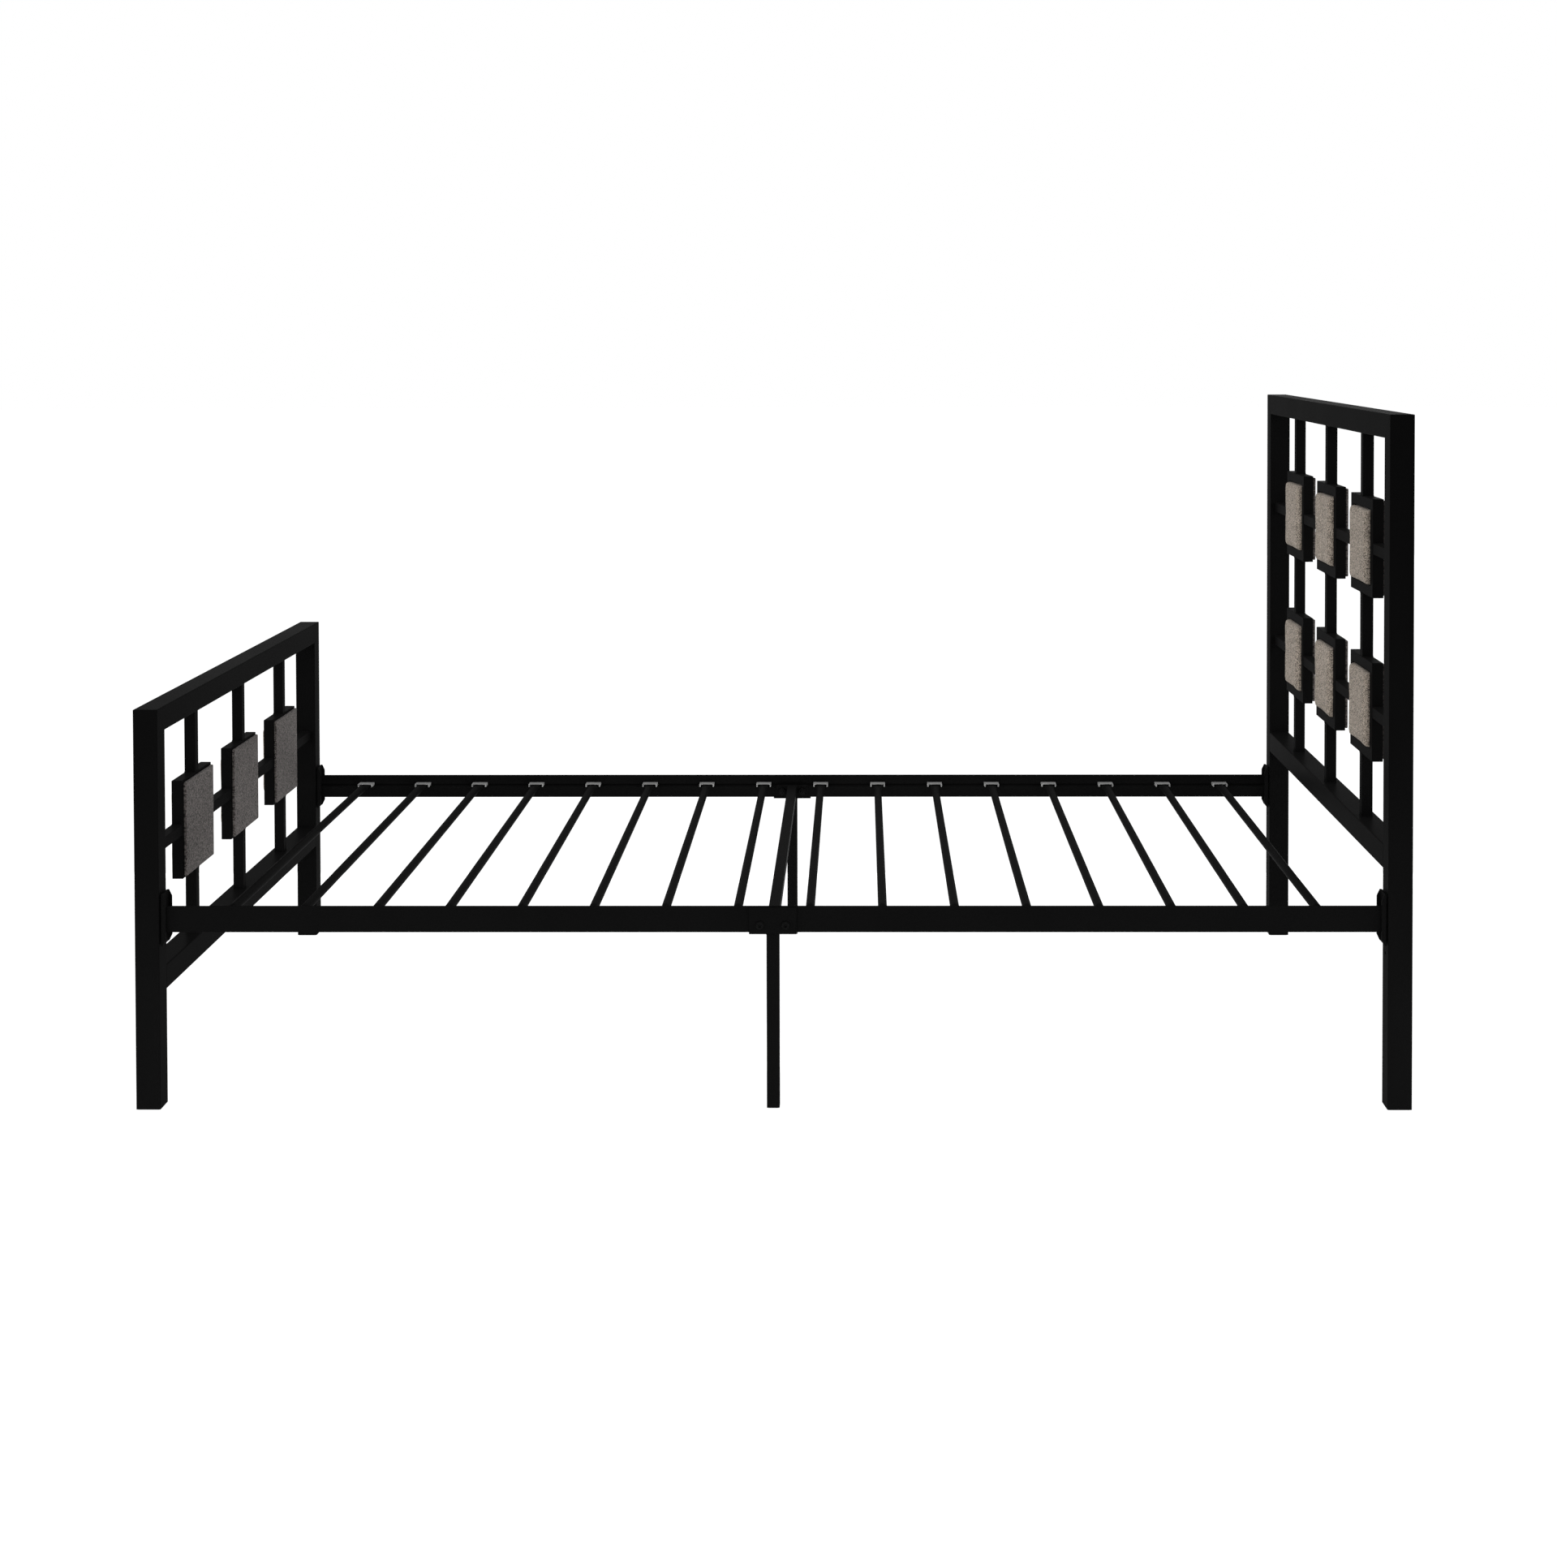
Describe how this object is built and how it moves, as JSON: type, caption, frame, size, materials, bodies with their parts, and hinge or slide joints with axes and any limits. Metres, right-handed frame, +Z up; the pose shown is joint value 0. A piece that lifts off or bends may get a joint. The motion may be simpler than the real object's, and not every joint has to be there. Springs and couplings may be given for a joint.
{
  "type": "bed frame",
  "caption": "Twin metal bed frame in black square tube: boards with padded square rings, hook-on side rails, round slats and centre legs.",
  "frame": {"origin": "on the floor, under the middle of the bed's length and width", "axes": "+X points to the head board, +Y to the left of someone at the foot who looks at the head board, +Z up"},
  "size_m": [1.9812, 1.0414, 1.0795],
  "materials": {
    "frame_coat": "satin black powder coat on steel tube",
    "slat_coat": "satin black powder coat on round steel tube",
    "bolt_coat": "black finish on steel bolts",
    "cushion_fabric": "heathered beige weave",
    "back_fabric": "heathered grey weave",
    "plug_plastic": "black moulded plastic"
  },
  "bodies": {
    "root": {"head_post_left": "frame_coat", "head_plug_left": "plug_plastic", "head_post_right": "frame_coat", "head_plug_right": "plug_plastic", "head_top_rail": "frame_coat", "head_lower_rail": "frame_coat", "head_grille": "frame_coat", "head_cushion_1": "cushion_fabric", "head_back_board_1": "back_fabric", "head_cushion_2": "cushion_fabric", "head_back_board_2": "back_fabric", "head_cushion_3": "cushion_fabric", "head_back_board_3": "back_fabric", "head_cushion_4": "cushion_fabric", "head_back_board_4": "back_fabric", "head_cushion_5": "cushion_fabric", "head_back_board_5": "back_fabric", "head_cushion_6": "cushion_fabric", "head_back_board_6": "back_fabric", "foot_post_left": "frame_coat", "foot_plug_left": "plug_plastic", "foot_post_right": "frame_coat", "foot_plug_right": "plug_plastic", "foot_top_rail": "frame_coat", "foot_lower_rail": "frame_coat", "foot_grille": "frame_coat", "foot_cushion_1": "cushion_fabric", "foot_back_board_1": "back_fabric", "foot_cushion_2": "cushion_fabric", "foot_back_board_2": "back_fabric", "foot_cushion_3": "cushion_fabric", "foot_back_board_3": "back_fabric", "side_rail_left": "frame_coat", "centre_leg_left": "frame_coat", "centre_plug_left": "plug_plastic", "leg_bolt_left_1": "bolt_coat", "leg_bolt_left_2": "bolt_coat", "side_rail_right": "frame_coat", "centre_leg_right": "frame_coat", "centre_plug_right": "plug_plastic", "leg_bolt_right_1": "bolt_coat", "leg_bolt_right_2": "bolt_coat", "centre_beam": "frame_coat", "slat_01": "slat_coat", "slat_02": "slat_coat", "slat_03": "slat_coat", "slat_04": "slat_coat", "slat_05": "slat_coat", "slat_06": "slat_coat", "slat_07": "slat_coat", "slat_08": "slat_coat", "slat_09": "slat_coat", "slat_10": "slat_coat", "slat_11": "slat_coat", "slat_12": "slat_coat", "slat_13": "slat_coat", "slat_14": "slat_coat", "slat_15": "slat_coat", "slat_16": "slat_coat"}
  },
  "joints": []
}
